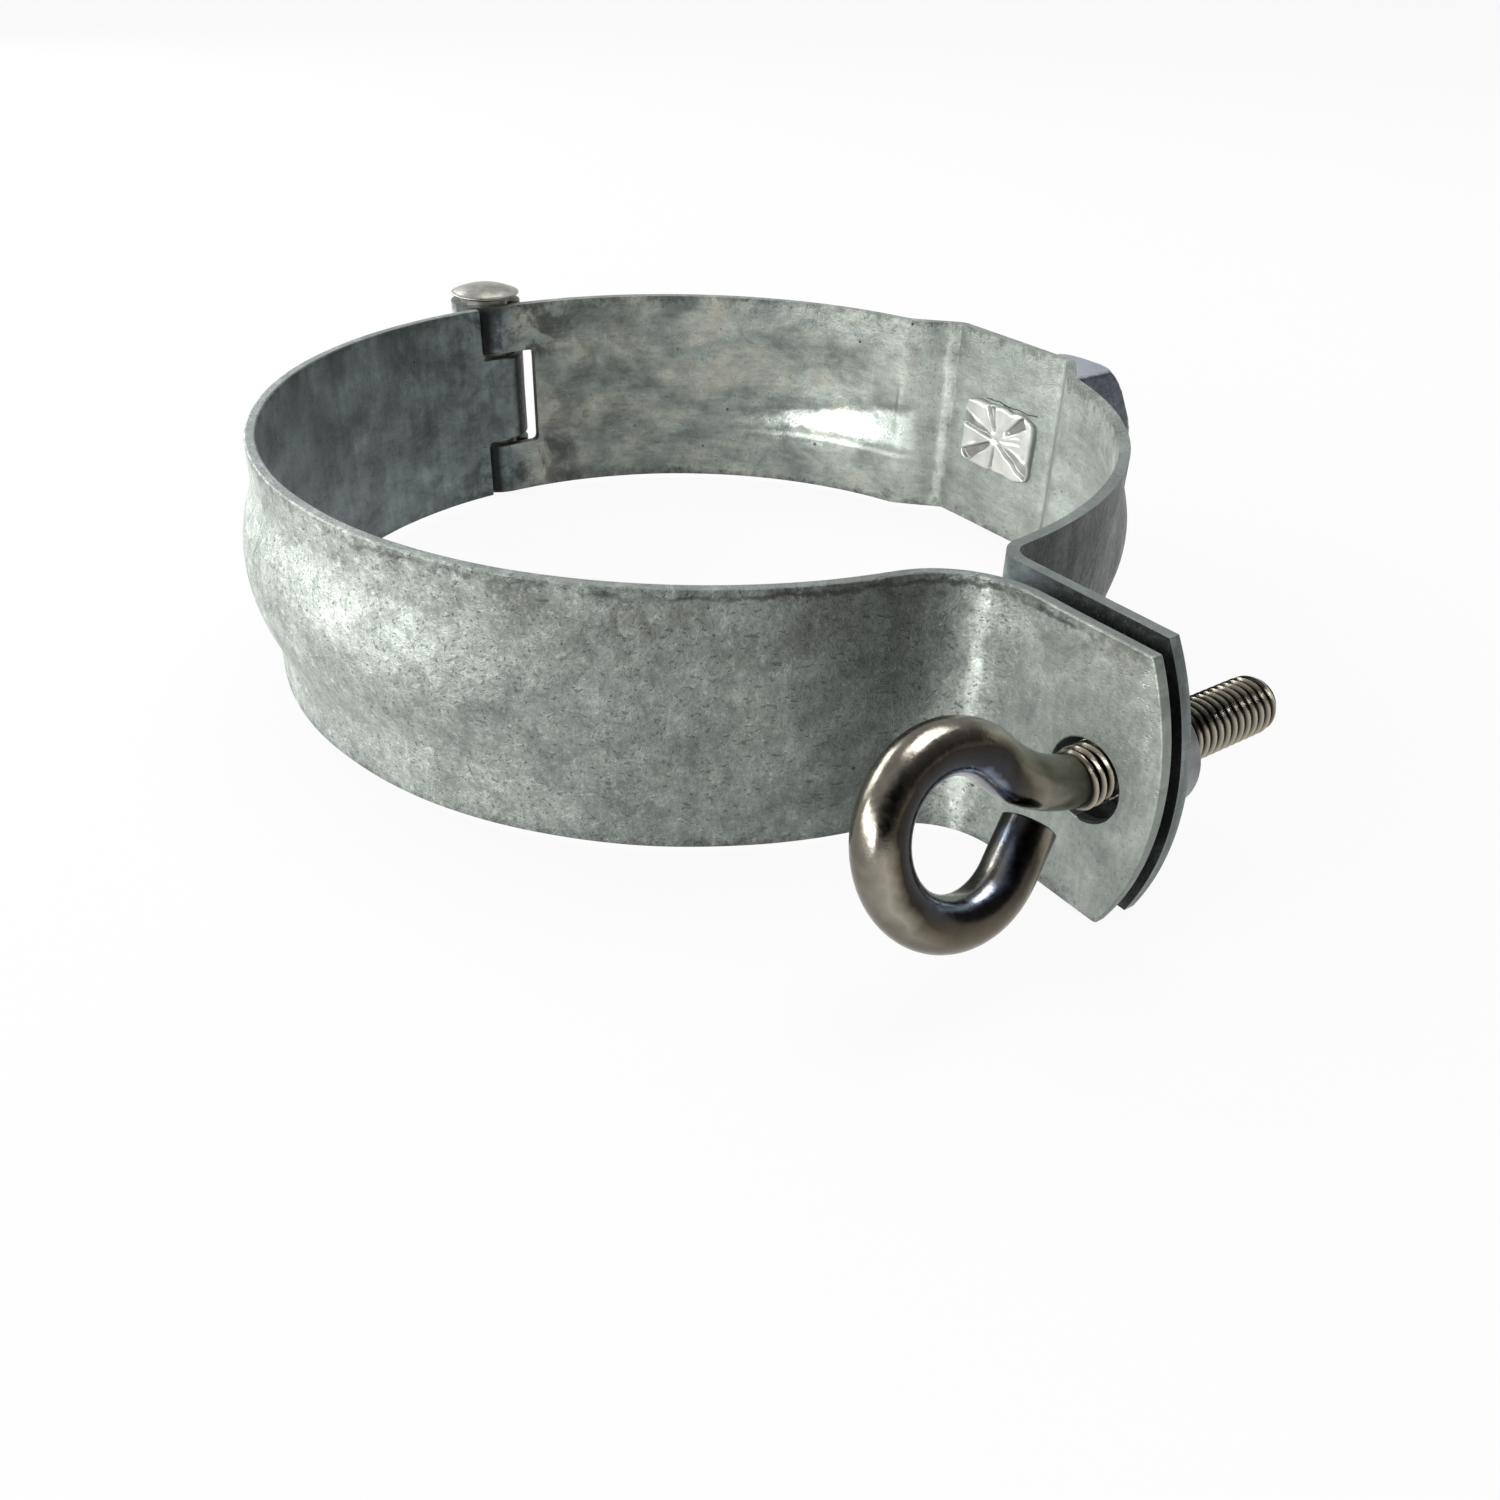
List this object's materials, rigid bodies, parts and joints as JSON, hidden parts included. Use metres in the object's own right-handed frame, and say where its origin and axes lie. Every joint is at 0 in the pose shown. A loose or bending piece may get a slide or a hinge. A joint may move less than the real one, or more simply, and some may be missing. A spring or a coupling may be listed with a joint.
{
  "type": "hinged pipe clamp",
  "caption": "Galvanised two-part pipe clamp with a rolled hinge, closed by an eye bolt, with a threaded boss at the back.",
  "frame": {"origin": "centre of the bore at half the strip's width", "axes": "+Z along the bore, +X towards the ears, +Y towards the mounting boss"},
  "size_m": [0.1366, 0.1238, 0.0314],
  "materials": {
    "galvanised_strip": "hot-dip galvanised, matte with spangle",
    "plated_bolt": "bright nickel-like plating",
    "plated_fittings": "zinc plated, satin"
  },
  "bodies": {
    "rear": {"rear_half": "galvanised_strip", "mounting_boss": "plated_fittings", "ear_nut": "plated_fittings", "hinge_pin": "plated_fittings"},
    "front": {"front_half": "galvanised_strip"},
    "bolt": {"eye_bolt": "plated_bolt"}
  },
  "joints": [
    {"name": "hinge", "type": "hinge", "parent": "rear", "child": "front", "pos_m": [-0.05499, -0.00115, 0], "axis": [0, 0, 1], "range_deg": [-1.6, 1.1]},
    {"name": "bolt_travel", "type": "slide", "parent": "rear", "child": "bolt", "axis": [0, -1, 0], "range_m": [0, 0.028]}
  ]
}
